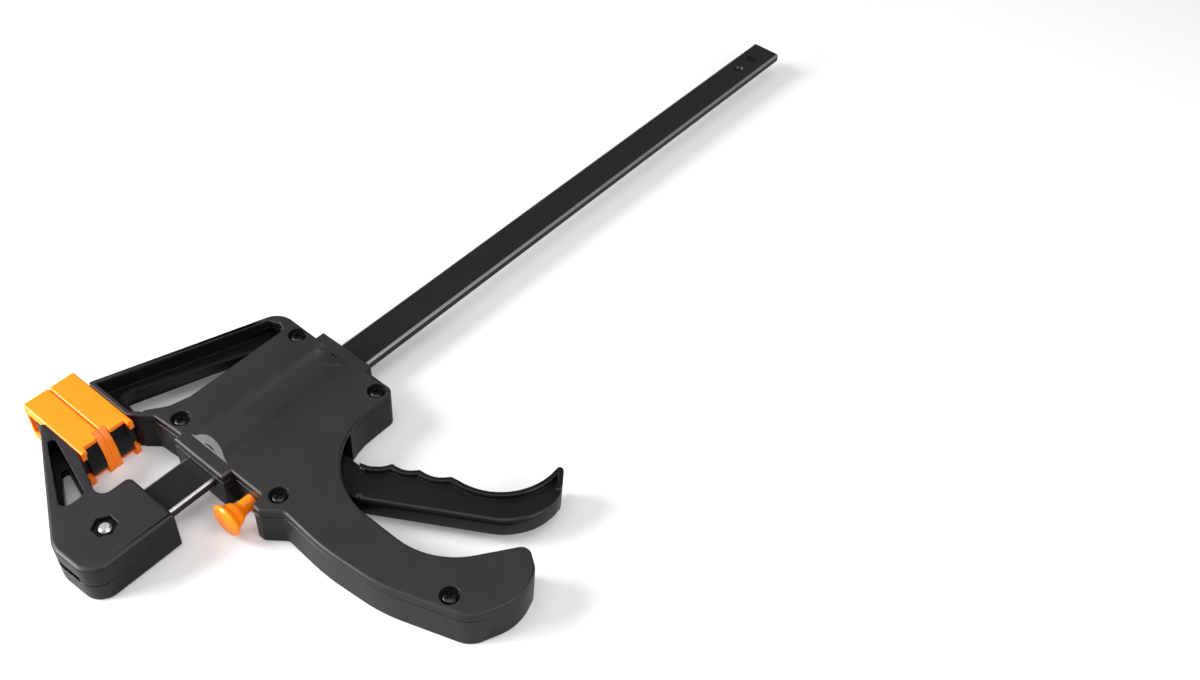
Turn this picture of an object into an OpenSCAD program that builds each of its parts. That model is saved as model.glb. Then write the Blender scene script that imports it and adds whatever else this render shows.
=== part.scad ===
// Quick release bar clamp, lying on its side with the jaws closed.
// X runs along the bar, away from the jaws. Y points to the clamping pads.
// Z is up, through the thickness of the body. Z = 0 is the plane it rests on.
// The origin lies under the bar's centreline, halfway along the body.

/* [Bar] */
// Width of the flat steel bar
bar_w = 16.4; // [14:0.2:18]
// Thickness of the bar
bar_t = 5; // [4:0.5:6]
// Radius on the bar's long edges
bar_edge_r = 1.2; // [0.5:0.1:1.5]
// Length of the bar from the fixed jaw's socket to its far end
bar_l = 456.5; // [250:0.5:760]
// Diameter of the hole at the bar's far end
end_hole_d = 6.5; // [5:0.5:8]
// Distance of that hole from the end
end_hole_inset = 14.5; // [8:0.5:20]
// Distance of the stop dimple from the end
dimple_inset = 28; // [22:0.5:40]
// Diameter of the stop dimple
dimple_d = 6; // [4:0.5:8]
// How far the dimple stands out under the bar
dimple_h = 1.2; // [0.8:0.1:1.5]

/* [Body] */
// Length of the body along the bar, without its collars
body_l = 70.5; // [66:0.5:80]
// Thickness of the body
body_t = 20; // [20:0.5:24]
// Thickness of the cover half at its edge
cover_t = 4; // [3:0.5:5]
// Thickness of the moulded side walls
wall = 2.4; // [2:0.2:3]
// Thickness of the floor and of the cover's flat skin
skin = 1.7; // [1.4:0.1:2]
// Height of the bar's centreline over the rest plane
bar_z = 11; // [11:0.5:12]
// Outer radius of the ridge over the bar
ridge_r = 13; // [12.5:0.5:14]
// Radius of the hollow fillets along both sides of the ridge
ridge_fillet = 6; // [2:0.5:8]
// How far the ridge's front end leans back
ridge_lean = 2.6; // [1:0.1:4]
// Width of the collars where the bar enters and leaves
collar_w = 28.6; // [26:0.2:32]
// How far the collars stand out of the body
collar_l = 3.8; // [2:0.2:6]
// Distance from the bar's centreline to the edge on the pad side
shoulder_y = 27.8; // [26:0.2:31]
// Distance from the bar's centreline to the edge beside the trigger
hip_y = 31.3; // [30:0.1:34]

/* [Grip] */
// Distance from the bar's centreline to the end of the grip
grip_l = 133.8; // [128:0.2:150]
// Thickness of the grip, front to back, at its waist
grip_w = 20.8; // [19:0.2:26]
// Radius of the hollow above the trigger
hand_r = 36; // [30:1:40]
// How far the finger guard stands out in front
guard_l = 4.8; // [3:0.2:7]

/* [Jaws] */
// Distance from the bar's centreline to the far end of the pads
pad_top = 71.5; // [60:0.5:80]
// Length of the pads
pad_l = 35.5; // [30:0.5:42]
// Thickness of a pad's clamping face
pad_face = 2.9; // [2:0.1:4]
// Depth of a pad behind its clamping face
pad_depth = 8.8; // [8:0.1:11]
// Thickness of a pad's top and bottom walls and of its lips
pad_wall = 2; // [1.5:0.1:2.5]
// How far a pad's lips run on past its face at the open end
pad_lip = 2.5; // [1:0.5:4]
// Distance from the clamping plane to the body's front edge
reach = 20.2; // [20:0.2:24]
// Distance from the clamping plane to the fixed jaw's bolt
jaw_back = 25.8; // [24:0.2:28]
// Width of the strut that carries the body's jaw
strut_w = 10.5; // [9:0.5:12]
// Thickness of the rims of both jaws
rim = 2; // [1.6:0.1:2.6]
// Thickness of the webs between the rims
web_t = 4; // [4:0.5:8]

/* [Trigger] */
// Thickness of the finger rim
trigger_t = 15; // [13:0.5:15.5]
// Thickness of the trigger's core
core_t = 10; // [8:0.5:11]
// Width of the finger rim
finger_rim = 2.2; // [1.8:0.1:3]
// How far the trigger swings, in degrees
trigger_swing = 12; // [8:1:12]
// Diameter of the trigger's pivot pin
pin_d = 5; // [4:0.5:6]
// Diameter of the hard pin that pushes the drive plates
push_pin_d = 4; // [3:0.5:4.5]
// Running clearance of the trigger on its pin, on the radius
pin_play = 0.06; // [0.03:0.01:0.1]

/* [Release] */
// Diameter of the release button's disc
button_d = 14.4; // [12:0.2:16]
// Diameter of the button's stem
button_stem_d = 6; // [5:0.2:7]
// How far the button stands out in front of the body
button_l = 13.5; // [11:0.5:16]
// Travel of the button
button_travel = 4; // [3:0.5:4]
// Distance of the button from the bar's centreline
button_y = 24.5; // [23:0.5:25]

/* [Mechanism] */
// Thickness of the drive plates and the brake plate
plate_t = 3; // [2:0.5:3.5]
// Height of those plates across the bar's thickness
plate_h = 13.6; // [12:0.2:14]
// Wire diameter of the drive spring
drive_wire = 1.1; // [1:0.1:1.2]
// Turns of the drive spring
drive_turns = 6; // [4:1:8]
// Wire diameter of the brake spring
brake_wire = 0.8; // [0.6:0.1:1]
// Turns of the brake spring
brake_turns = 5; // [4:1:6]

/* [Fasteners] */
// Diameter of the cover screws' heads
screw_head_d = 6.2; // [5.6:0.2:7]
// Height of those heads
screw_head_h = 1.6; // [1.4:0.1:2]
// Diameter of the round recesses they sit in
screw_recess_d = 8; // [7.4:0.2:9]
// Depth of those recesses
screw_recess_h = 2.2; // [2:0.1:2.4]
// Diameter of the cover screws' shanks
screw_d = 3; // [2.5:0.1:3.5]
// Diameter of the fixed jaw's bolt
bolt_d = 5; // [5:0.5:6]
// Width of its nut across the flats
nut_af = 8; // [7:0.5:11]
// Height of that thin nut
nut_h = 3.6; // [3:0.2:5]

/* [Hidden] */
$fn = 48;

eps = 0.01;
gap = 0.1;            // between parts that are fixed to each other
slide_gap = 0.35;     // around the bar in its collars
grip_gap = 0.25;      // around the bar in the steel plates

nylon = "#3a393b";
orange = "#ff8a1e";
steel = "#58565a";
zinc = "#c9c9cc";

front = -body_l / 2;
rear = body_l / 2;
seam = body_t - cover_t;
clamp_x = front - reach;
bolt_x = clamp_x - jaw_back;
mid_z = body_t / 2;

// Each corner of an outline is [x, y, radius]; a radius of 0 leaves it sharp.
function unit(v) = v / norm(v);
function turn(a) = a > 180 ? a - 360 : a < -180 ? a + 360 : a;
function corner(a, b, c, r, steps) =
    r == 0 ? [b] :
    let (u = unit(a - b),
         v = unit(c - b),
         half = acos(u * v) / 2,
         run = r / tan(half),
         centre = b + unit(u + v) * r / sin(half),
         from = b + u * run - centre,
         to = b + v * run - centre,
         start = atan2(from[1], from[0]),
         sweep = turn(atan2(to[1], to[0]) - start))
    [for (i = [0:steps]) centre + r * [cos(start + sweep * i / steps), sin(start + sweep * i / steps)]];
function xy(p) = [p[0], p[1]];
function arc_steps(r) = r > 20 ? 14 : r > 5 ? 10 : 6;
function rounded(path) =
    [for (i = [0:len(path) - 1])
        let (n = len(path))
        each corner(xy(path[(i + n - 1) % n]), xy(path[i]), xy(path[(i + 1) % n]),
                    path[i][2], arc_steps(path[i][2]))];

// An arc through two points that bows by a given depth to the left of the way
function bow(a, b, depth, steps) =
    let (side = unit([a[1] - b[1], b[0] - a[0]]))
    [for (i = [1:steps - 1]) a + (b - a) * i / steps + side * depth * sin(180 * i / steps)];

module box(x0, x1, y0, y1, z0, z1) {
    translate([x0, y0, z0])
        cube([x1 - x0, y1 - y0, z1 - z0]);
}

module slab(z0, z1) {
    translate([0, 0, z0])
        linear_extrude(z1 - z0)
            children();
}

module post(p, d, z0, z1) {
    translate([p[0], p[1], z0])
        cylinder(d = d, h = z1 - z0);
}

module along_x(x0, x1, y, z, r) {
    translate([x0, y, z])
        rotate([0, 90, 0])
            cylinder(r = r, h = x1 - x0);
}

// ---- Body outline ----

strut_slope = 0.334;
strut_end = [clamp_x + pad_face + pad_depth + 0.2, pad_top - 9];
function strut_y(x) = strut_end[1] - strut_slope * (x - strut_end[0]);

grip_back = front + grip_w;
arm_butt_y = shoulder_y + 6.4;

body_outline = [
    [front - 6, arm_butt_y, 0],
    [front - 1.6, shoulder_y + 1.4, 2],
    [front - 0.8, 15.5, 0],
    [front - 0.8, 5, 0],
    [front + 0.7, -5, 0],
    [front + 0.7, -31.2, 1],
    [front - guard_l, -32.2, 1.6],
    [front - guard_l, -36.4, 2.2],
    [front + 1, -43.8, 3],
    [front - 0.6, -65.7, 100],
    [front + 1.8, -92.9, 70],
    [front + 13.3, 6.8 - grip_l, 11],
    [front + 31.2, -grip_l - 1.4, 22],
    [front + 44.5, 2.8 - grip_l, 8],
    [front + 51.1, 11.9 - grip_l, 4],
    [grip_back, 33.8 - grip_l, 33],
    [grip_back, -hip_y, hand_r],
    [rear + 0.6, -hip_y, 3.5],
    [rear + 0.6, -5, 0],
    [rear - 0.4, 5, 0],
    [rear - 0.4, strut_y(rear), 9],
    [rear - 13, strut_y(rear - 13), 0],
    [rear - 13.6, strut_y(rear - 13.6) - rim, 0],
    [rear - 7.5, strut_y(rear - 7.5) - rim, 3.5],
    [rear - 4.9, shoulder_y + 3.2, 2],
    [rear - 7, shoulder_y, 0.5],
    [front + 14.5, shoulder_y - 0.6, 10],
    [front + 5.5, shoulder_y + 1.2, 8],
    [front - 2, arm_butt_y, 0]
];

module body_area() {
    polygon(rounded(body_outline));
}

module collars_area() {
    translate([front - collar_l, -collar_w / 2])
        square([body_l + 2 * collar_l, collar_w]);
}

module inside_area() {
    offset(delta = -wall)
        body_area();
}

screws = [
    [rear - 4.8, 20.9],
    [rear - 3.8 - wall / 4, -26.1],
    [front + 4.4, 20.3],
    [front + 5, -36.4],
    [front + 15.6, 19 - grip_l]
];
boss_d = 7.2;

// ---- The body's jaw: a strut and a thin arm round a long window ----

arm_outline = [
    [strut_end[0], shoulder_y + 9.7, 0],
    [front - 1.6, shoulder_y + 1.4, 2],
    [front - 0.8, 15.5, 0],
    [rear - 0.4, 15.5, 0],
    [rear - 0.4, strut_y(rear), 9],
    [strut_end[0], strut_end[1], 1]
];

window_outline = [
    [front - 4, shoulder_y + 7, 1.5],
    [front + 6, shoulder_y, 12],
    [rear - 11.5, shoulder_y, 1],
    [front + 3.5, strut_y(front + 3.5) - 7.2, 6],
    [front - 1.5, strut_y(front - 1.5) - 9, 2.5]
];

module arm_area() {
    polygon(rounded(arm_outline));
}

module window_area() {
    polygon(rounded(window_outline));
}

module arm_rim_area() {
    difference() {
        arm_area();
        offset(delta = -rim)
            arm_area();
    }
}

module window_rim_area() {
    difference() {
        intersection() {
            offset(delta = rim - 0.5)
                window_area();
            arm_area();
        }
        window_area();
    }
}

// The plate that a pad slides on, its neck, and their sizes
plate_x = pad_face + gap;
plate_back = pad_face + pad_depth - pad_wall - gap;
lip_h = 2.5;
plate_top = pad_top - pad_wall - gap;
pad_bottom = pad_top - pad_l;

module head_plate() {
    // its open end bulges, as the pad's face does
    y = pad_bottom;
    z0 = pad_wall + gap;
    z1 = body_t - pad_wall - gap;
    translate([plate_x, 0, 0])
        rotate([90, 0, 90])
            linear_extrude(plate_back - plate_x)
                polygon([
                    [plate_top, z0], [plate_top, z1], [y + 0.6, z1], [y - 0.7, z1 - 3],
                    [y - 1.8, z1 - 7], [y - 2.3, z0 + 5], [y - 2, z0 + 2], [y - 0.9, z0]
                ]);
    box(plate_back - eps, pad_face + pad_depth + 0.6, pad_bottom, plate_top - 6,
        pad_wall + lip_h + gap, body_t - pad_wall - lip_h - gap);
}

module body_jaw() {
    translate([clamp_x, 0, 0])
        head_plate();
    slab(0, body_t)
        difference() {
            arm_rim_area();
            window_area();
        }
    slab(mid_z - web_t / 2, mid_z + web_t / 2)
        difference() {
            arm_area();
            window_area();
        }
    slab(mid_z - web_t / 2, mid_z + web_t / 2 + 1.5)
        window_rim_area();
}

// ---- Mechanism places, all measured from the body's edges ----

cover_skin_z = body_t - skin;
drive_x = front + 38.5;              // front face of the drive plates
plates_end = drive_x + 2 * plate_t + gap;
seat_t = 1;
spring_x = plates_end + gap + seat_t;
brake_fulcrum = [front + 11, 13];
brake_arm = brake_fulcrum[1] + button_y;
brake_tilt = asin(button_travel / brake_arm);
pivot = [drive_x - 8, -27];
push_pin_y = -14.2;
push_pin_x = drive_x - push_pin_d / 2 - gap;
chamber_r = 10;
brake_spring_y = -19.5;
brake_seat_x = front + 21;

brake_pin_d = 3;
brake_pin = [brake_fulcrum[0] - plate_t / 2 - brake_pin_d / 2 - 0.25, brake_fulcrum[1]];

pin_post_d = pin_d + 4;
pin_post_h = skin + 0.6;

module bar_slot(play) {
    box(front - collar_l - 1, rear + collar_l + 1, -bar_w / 2 - play, bar_w / 2 + play,
        bar_z - bar_t / 2 - play, bar_z + bar_t / 2 + play);
}

module trigger_window_area() {
    polygon([
        [front + 42, -30],
        [rear + 1, -75],
        [grip_back + 4, -79],
        [grip_back - wall - 2, -79],
        [grip_back - wall - 2, -45],
        [front + 30, -30]
    ]);
}

module housing_ribs() {
    // the post behind the brake plate's upper end
    box(brake_fulcrum[0] + plate_t / 2 + 0.9, brake_fulcrum[0] + plate_t / 2 + 3,
        11.5, 15, skin, seam);
    // the seat of the brake spring
    box(brake_seat_x, brake_seat_x + 2, brake_spring_y - 4.5, brake_spring_y + 4.5, skin, seam);
    // the stop behind the drive plates' upper ends
    box(drive_x - 3, drive_x - gap, 9.5, 15, skin, seam);
    // cross ribs in the grip
    box(front + wall - eps, grip_back - wall + eps, -88, -86, skin, seam - 6);
    box(front + 10, grip_back + 8, -106, -104, skin, seam - 6);
}

module housing() {
    color(nylon)
        difference() {
            union() {
                difference() {
                    union() {
                        slab(0, seam)
                            body_area();
                        slab(0, seam)
                            collars_area();
                        difference() {
                            body_jaw();
                            slab(seam, body_t + 1)
                                offset(delta = gap)
                                    body_area();
                        }
                    }
                    slab(skin, body_t + 1)
                        inside_area();
                    slab(skin + 0.3, seam + 1)
                        trigger_window_area();
                }
                intersection() {
                    union() {
                        housing_ribs();
                        for (p = screws)
                            post(p, boss_d, skin - eps, seam);
                        post(pivot, pin_post_d, skin - eps, pin_post_h);
                        post(brake_pin, brake_pin_d + 3, skin - eps, pin_post_h);
                    }
                    slab(0, seam)
                        body_area();
                }
            }
            for (p = screws)
                post(p, screw_d + gap, skin, seam + 1);
            post(pivot, pin_d + 0.02, skin / 2, seam + 1);
            post(brake_pin, brake_pin_d + 0.02, skin / 2, seam + 1);
            along_x(front + wall - eps, rear - wall + eps, 0, bar_z, chamber_r);
            bar_slot(slide_gap);
            along_x(front - 1, front + wall + 1, -button_y, mid_z, button_stem_d / 2 + 0.1);
        }
}

// ---- Cover ----

// Section of the ridge round the bar's centre, drawn in Y and Z: a round back
// between two hollow fillets that run out into the cover's flat top
function ridge_section() =
    let (h = body_t - bar_z,
         y = sqrt(pow(ridge_r + ridge_fillet, 2) - pow(h + ridge_fillet, 2)),
         a = atan2(h + ridge_fillet, y))
    concat(
        [[y, seam - bar_z]],
        [for (i = [0:6])
            let (b = 270 - (90 - a) * i / 6)
            [y, h + ridge_fillet] + ridge_fillet * [cos(b), sin(b)]],
        [for (i = [1:11])
            let (b = a + (180 - 2 * a) * i / 12)
            ridge_r * [cos(b), sin(b)]],
        [for (i = [0:6])
            let (b = 360 - a - (90 - a) * i / 6)
            [-y, h + ridge_fillet] + ridge_fillet * [cos(b), sin(b)]],
        [[-y, seam - bar_z]]
    );

module ridge() {
    intersection() {
        translate([front, 0, bar_z])
            rotate([90, 0, 90])
                linear_extrude(body_l)
                    polygon(ridge_section());
        // the front end leans back, and the rear end fades into the edge
        rotate([90, 0, 0])
            translate([0, 0, -ridge_r])
                linear_extrude(2 * ridge_r)
                    polygon([
                        [front + 2, seam],
                        [front + 2, body_t],
                        [front + 2 + ridge_lean, bar_z + ridge_r],
                        [rear - 12, bar_z + ridge_r],
                        [rear - 0.5, body_t],
                        [rear - 0.5, seam]
                    ]);
    }
}

module cover() {
    color(nylon)
        difference() {
            union() {
                difference() {
                    union() {
                        slab(seam + 0.05, body_t)
                            body_area();
                        slab(seam + 0.05, body_t)
                            collars_area();
                        ridge();
                    }
                    slab(seam - 1, cover_skin_z)
                        inside_area();
                    along_x(front + wall, rear - wall, 0, bar_z, chamber_r);
                    slab(seam - 1, cover_skin_z)
                        trigger_window_area();
                }
                intersection() {
                    for (p = screws)
                        post(p, screw_recess_d + 2.4, seam + 0.05, body_t);
                    slab(0, body_t)
                        body_area();
                }
                post(pivot, pin_post_d, cover_skin_z - 0.6, body_t);
                post(brake_pin, brake_pin_d + 3, cover_skin_z - 0.2, body_t);
            }
            for (p = screws) {
                post(p, screw_recess_d, body_t - screw_recess_h, body_t + 1);
                post(p, screw_d + 2 * gap, seam - 1, body_t);
            }
            post(pivot, pin_d + 0.02, seam - 1, body_t - skin / 2);
            post(brake_pin, brake_pin_d + 0.02, seam - 1, body_t - skin / 2);
        }
}

// ---- Cover screws: pan heads with a cross recess ----

module cross_recess(z) {
    for (a = [45, 135])
        rotate([0, 0, a])
            translate([-1.6, -0.35, z - 1])
                cube([3.2, 0.7, 2]);
}

module pan_screw() {
    seat = body_t - screw_recess_h;
    difference() {
        union() {
            translate([0, 0, seat])
                rotate_extrude()
                    polygon([
                        [0, 0],
                        [screw_head_d / 2, 0],
                        [screw_head_d / 2, screw_head_h * 0.45],
                        [screw_head_d / 2 - 0.5, screw_head_h * 0.8],
                        [screw_head_d / 2 - 1.3, screw_head_h],
                        [0, screw_head_h]
                    ]);
            translate([0, 0, seat - 12])
                cylinder(d = screw_d, h = 12 + eps);
        }
        cross_recess(seat + screw_head_h);
    }
}

module cover_screws() {
    color(nylon)
        for (p = screws)
            translate([p[0], p[1], 0])
                pan_screw();
}

// ---- Pads: a channel that slides onto the head plate, shut at its far end ----

module pad_profile() {
    // section across the jaw: X behind the clamping plane, Z through the thickness
    polygon([
        [0, 0.6],
        [0.6, 0],
        [pad_face + pad_depth, 0],
        [pad_face + pad_depth, pad_wall + lip_h],
        [pad_face + pad_depth - pad_wall, pad_wall + lip_h],
        [pad_face + pad_depth - pad_wall, pad_wall],
        [pad_face, pad_wall],
        [pad_face, body_t - pad_wall],
        [pad_face + pad_depth - pad_wall, body_t - pad_wall],
        [pad_face + pad_depth - pad_wall, body_t - pad_wall - lip_h],
        [pad_face + pad_depth, body_t - pad_wall - lip_h],
        [pad_face + pad_depth, body_t],
        [0.6, body_t],
        [0, body_t - 0.6]
    ]);
}

module pad_end_cut() {
    // what is taken off the face's open end, drawn in Y and Z
    y = pad_bottom;
    translate([-1, 0, 0])
        rotate([90, 0, 90])
            linear_extrude(pad_face + 1)
                polygon([
                    [y - 5, -1], [y - 2.2, -1], [y - 2.2, 3], [y - 1.9, 7], [y - 1.2, 11],
                    [y - 0.1, 14.5], [y + 1.6, 17.6], [y + 3.6, body_t],
                    [y + 3.6, body_t + 1], [y - 5, body_t + 1]
                ]);
}

module pad() {
    difference() {
        union() {
            // channel
            translate([0, pad_top, 0])
                rotate([90, 0, 0])
                    linear_extrude(pad_l)
                        pad_profile();
            // the face runs on past the channel's walls
            translate([0, pad_bottom + eps, 0])
                rotate([90, 0, 0])
                    linear_extrude(3)
                        polygon([[0, 0.6], [0.6, 0], [pad_face, 0], [pad_face, body_t],
                                 [0.6, body_t], [0, body_t - 0.6]]);
        }
        pad_end_cut();
    }
    // closed end, down to the height of the strut's neck
    box(0.6, pad_face + pad_depth, pad_top - pad_wall, pad_top, 0.6, body_t - 0.6);
    // lips run on past the face at the open end
    for (z = [0, body_t - pad_wall])
        box(pad_face + pad_depth - 2.6, pad_face + pad_depth, pad_bottom - pad_lip,
            pad_bottom + 1, z, z + pad_wall);
}

module body_jaw_pad() {
    color(orange)
        translate([clamp_x + 0.02, 0, 0])
            pad();
}

module bar_jaw_pad() {
    color(orange)
        translate([clamp_x - 0.02, 0, 0])
            mirror([1, 0, 0])
                pad();
}

// ---- Fixed jaw on the end of the bar ----

nose_x = clamp_x - 5.8;
back_x = bolt_x - 17.8;
base_y = 14.6;
throat_y = 12;
leg_top = [clamp_x - 11.9, pad_top - 11.5];

jaw_outline = [
    [leg_top[0], leg_top[1], 1],
    [back_x - 0.3, 6.5, 12],
    [back_x + 0.6, -base_y, 8],
    [nose_x, -base_y, 1],
    [nose_x, throat_y, 2.5],
    [bolt_x + 5.8, throat_y, 4],
    [leg_top[0], pad_bottom - 0.5, 0]
];

jaw_window_outline = [
    [bolt_x + 4.2, 19.4, 2],
    [bolt_x + 9.2, 38.6, 1],
    [bolt_x + 6.4, 38.6, 1],
    [bolt_x - 4.6, 19.4, 2.5]
];

module jaw_area() {
    polygon(rounded(jaw_outline));
}

module jaw_recess_area() {
    polygon(rounded([
        [bolt_x + 4.4, 17.2, 2],
        [leg_top[0] - 1.8, 46.5, 1.5],
        [leg_top[0] - 3.4, leg_top[1] - 9.5, 1.5],
        [bolt_x - 7, 17.2, 3]
    ]));
}

module jaw_window_area() {
    polygon(rounded(jaw_window_outline));
}

socket_end = bolt_x - 11;
nut_pocket_z = bar_z + bar_t / 2 + 1.5;
bolt_head_h = 4;
bolt_head_pocket = 5.4;
bolt_end = body_t - 0.3;
bolt_tip = 0.9;

slit_w = 0.5;
slit_depth = 0.8;
slit_end = nose_x - 4.5;

// The thin slit along the near side and round the back corner
module jaw_slit() {
    slab(mid_z - slit_w / 2, mid_z + slit_w / 2)
        difference() {
            translate([back_x - 3, -base_y - 2])
                square([slit_end - back_x + 3, base_y - 4.5]);
            polygon(rounded([
                [back_x + 0.6 + slit_depth, -base_y + slit_depth, 8 - slit_depth],
                [nose_x + 5, -base_y + slit_depth, 0],
                [nose_x + 5, 20, 0],
                [back_x - 0.5 + slit_depth, 20, 0]
            ]));
        }
}

module bar_jaw() {
    color(nylon)
        difference() {
            union() {
                slab(0, body_t)
                    jaw_area();
                translate([clamp_x, 0, 0])
                    mirror([1, 0, 0])
                        head_plate();
            }
            for (z = [-1, mid_z + web_t / 2])
                slab(z, z + mid_z - web_t / 2 + 1)
                    jaw_recess_area();
            slab(-1, body_t + 1)
                jaw_window_area();
            // socket for the bar
            box(socket_end - gap, nose_x + 1, -bar_w / 2 - gap, bar_w / 2 + gap,
                bar_z - bar_t / 2 - gap, bar_z + bar_t / 2 + gap);
            // the socket's smaller mouth in the back wall
            box(back_x - 3, socket_end, -7, 6, bar_z - 2.1, bar_z + 2.1);
            jaw_slit();
            // bolt, its head's pocket and the nut's pocket
            post([bolt_x, 0], bolt_d + 2 * gap, -1, body_t + 1);
            post([bolt_x, 0], 13.2, -1, bolt_head_pocket);
            translate([bolt_x, 0, nut_pocket_z])
                rotate([0, 0, 30])
                    cylinder(r = (nut_af / 2 + 0.35) / cos(30), h = 10, $fn = 6);
        }
}

module jaw_bolt() {
    color(zinc)
        translate([bolt_x, 0, 0]) {
            difference() {
                translate([0, 0, bolt_head_pocket - 1 - bolt_head_h])
                    cylinder(d = 10, h = bolt_head_h);
                translate([0, 0, -1])
                    cylinder(r = 2 / cos(30), h = bolt_head_pocket - bolt_head_h + 2.2, $fn = 6);
            }
            translate([0, 0, bolt_head_pocket - 1 - eps])
                cylinder(d = bolt_d, h = bolt_end - bolt_tip - bolt_head_pocket + 1 + eps);
            translate([0, 0, bolt_end - bolt_tip])
                cylinder(d1 = bolt_d, d2 = bolt_d - 1.6, h = bolt_tip);
        }
}

module jaw_washer() {
    color(zinc)
        difference() {
            post([bolt_x, 0], 12.4, bolt_head_pocket - 1, bolt_head_pocket - gap);
            post([bolt_x, 0], bolt_d + 0.4, 0, body_t);
        }
}

module jaw_nut() {
    color("#2a2a2c")
        translate([bolt_x, 0, nut_pocket_z])
            difference() {
                rotate([0, 0, 30])
                    cylinder(r = nut_af / 2 / cos(30), h = nut_h, $fn = 6);
                translate([0, 0, -1])
                    cylinder(d = bolt_d + 0.1, h = nut_h + 2);
            }
}

// ---- Bar ----

bar_start = socket_end;
bar_end = bar_start + bar_l;

module bar_section() {
    // rounded long edges, drawn in Y and Z
    r = bar_edge_r;
    hy = bar_w / 2;
    hz = bar_t / 2;
    polygon(rounded([[-hz, -hy, r], [hz, -hy, r], [hz, hy, r], [-hz, hy, r]]));
}

module bar() {
    dimple_x = bar_end - dimple_inset;
    color(steel)
        difference() {
            union() {
                translate([bar_start, 0, bar_z])
                    rotate([0, 90, 0])
                        linear_extrude(bar_l)
                            bar_section();
                translate([dimple_x, 0, bar_z - bar_t / 2 - dimple_h])
                    cylinder(d1 = dimple_d - 1.4, d2 = dimple_d, h = dimple_h + 0.5);
            }
            post([bolt_x, 0], bolt_d + 2 * gap, 0, body_t);
            post([bar_end - end_hole_inset, 0], end_hole_d, 0, body_t);
            translate([dimple_x, 0, bar_z + bar_t / 2 - dimple_h])
                cylinder(d1 = dimple_d - 1.6, d2 = dimple_d, h = dimple_h + eps);
        }
}

// ---- Trigger ----

trigger_x = front + 45.25;           // the peak between the first two finger hollows
trigger_y = -56;
hook_c = [trigger_x + 38, trigger_y - 23];
hook_r = 26.7;

finger_a = [trigger_x - 8, trigger_y + 10];
finger_b = [trigger_x, trigger_y];
finger_c = [trigger_x + 5, trigger_y - 10];
finger_d = [trigger_x + 10.8, trigger_y - 21.5];

hook_steps = 16;
finger_edge = concat(
    [finger_a],
    bow(finger_a, finger_b, -1.8, 8), [finger_b],
    bow(finger_b, finger_c, -1.5, 8), [finger_c],
    bow(finger_c, finger_d, -1.7, 8), [finger_d],
    [for (i = [0:hook_steps])
        let (a = 184 + 92 * i / hook_steps)
        hook_c + hook_r * [cos(a), sin(a)]]
);

tip = [trigger_x + 41.6, trigger_y - 51];
tip_arc = [for (a = [100:-30:-50]) tip + 1.5 * [cos(a), sin(a)]];

palm_edge = rounded([
    [trigger_x + 42.4, trigger_y - 52.4, 0],
    [trigger_x + 34, trigger_y - 58.4, 14],
    [trigger_x + 13.6, trigger_y - 58.4, 24],
    [trigger_x - 20, trigger_y - 1.5, 0]
]);

// upper lever, round the pivot and up to the push pin
lever = rounded([
    [trigger_x - 20, trigger_y - 1.5, 3],
    [pivot[0] - 6, pivot[1] - 6, 4],
    [pivot[0] - 5.4, pivot[1] + 5, 5],
    [push_pin_x - 2.6, push_pin_y + 2.8, 2],
    [push_pin_x + 0.7, push_pin_y + 2.8, 1.2],
    [push_pin_x + 0.7, push_pin_y - 4, 1.5],
    [pivot[0] + 6.4, pivot[1] + 2, 4],
    [finger_a[0], finger_a[1], 0],
    [finger_b[0], finger_b[1], 0]
]);

module trigger_core_area() {
    polygon(concat(finger_edge, tip_arc, palm_edge));
    polygon(lever);
}

module finger_rim_area() {
    intersection() {
        difference() {
            polygon(concat(finger_edge, tip_arc, palm_edge));
            offset(delta = -finger_rim)
                polygon(concat(finger_edge, tip_arc, palm_edge));
        }
        // the rim follows the finger side and the hook, not the palm side
        polygon([
            finger_a + [-3, 4],
            finger_b + [-8, -6],
            finger_d + [-6, -8],
            hook_c + [-24, -26],
            hook_c + [-8, -32],
            hook_c + [20, -45],
            hook_c + [40, 0],
            finger_a + [20, 10]
        ]);
    }
}

module trigger() {
    color(nylon)
        difference() {
            union() {
                slab(mid_z - core_t / 2, mid_z + core_t / 2)
                    trigger_core_area();
                slab(mid_z - trigger_t / 2, mid_z + trigger_t / 2)
                    finger_rim_area();
                post(pivot, pin_post_d + 1, pin_post_h + 0.2, cover_skin_z - 0.8);
            }
            post(pivot, pin_d + 2 * pin_play, 0, body_t);
            post([push_pin_x, push_pin_y], push_pin_d + 0.02, 0, body_t);
            // the lever's nose is forked round the bar's edge
            box(push_pin_x - 8, push_pin_x + 8, -bar_w / 2 - 3.4, 0, 0, body_t);
        }
}

module trigger_pin() {
    color(zinc)
        post(pivot, pin_d, skin / 2 + gap, body_t - skin / 2 - gap);
}

module brake_pin() {
    color(zinc)
        post(brake_pin, brake_pin_d, skin / 2 + gap, body_t - skin / 2 - gap);
}

module trigger_push_pin() {
    color(zinc)
        post([push_pin_x, push_pin_y], push_pin_d, mid_z - core_t / 2 - 1, mid_z + core_t / 2 + 1);
}

// ---- Steel plates round the bar ----

module bar_hole(x0, x1, play) {
    box(x0, x1, -bar_w / 2 - play, bar_w / 2 + play,
        bar_z - bar_t / 2 - play, bar_z + bar_t / 2 + play);
}

module drive_plate(x) {
    difference() {
        box(x, x + plate_t, -16, 13.5, bar_z - plate_h / 2, bar_z + plate_h / 2);
        bar_hole(x - 1, x + plate_t + 1, grip_gap);
    }
}

module drive_plate_front() {
    color(zinc)
        drive_plate(drive_x);
}

module drive_plate_rear() {
    color(zinc)
        drive_plate(drive_x + plate_t + gap);
}

module spring_seat() {
    color(zinc)
        difference() {
            along_x(plates_end + gap, spring_x, 0, bar_z, chamber_r - 0.2);
            bar_hole(plates_end, spring_x + 1, grip_gap);
        }
}

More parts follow.
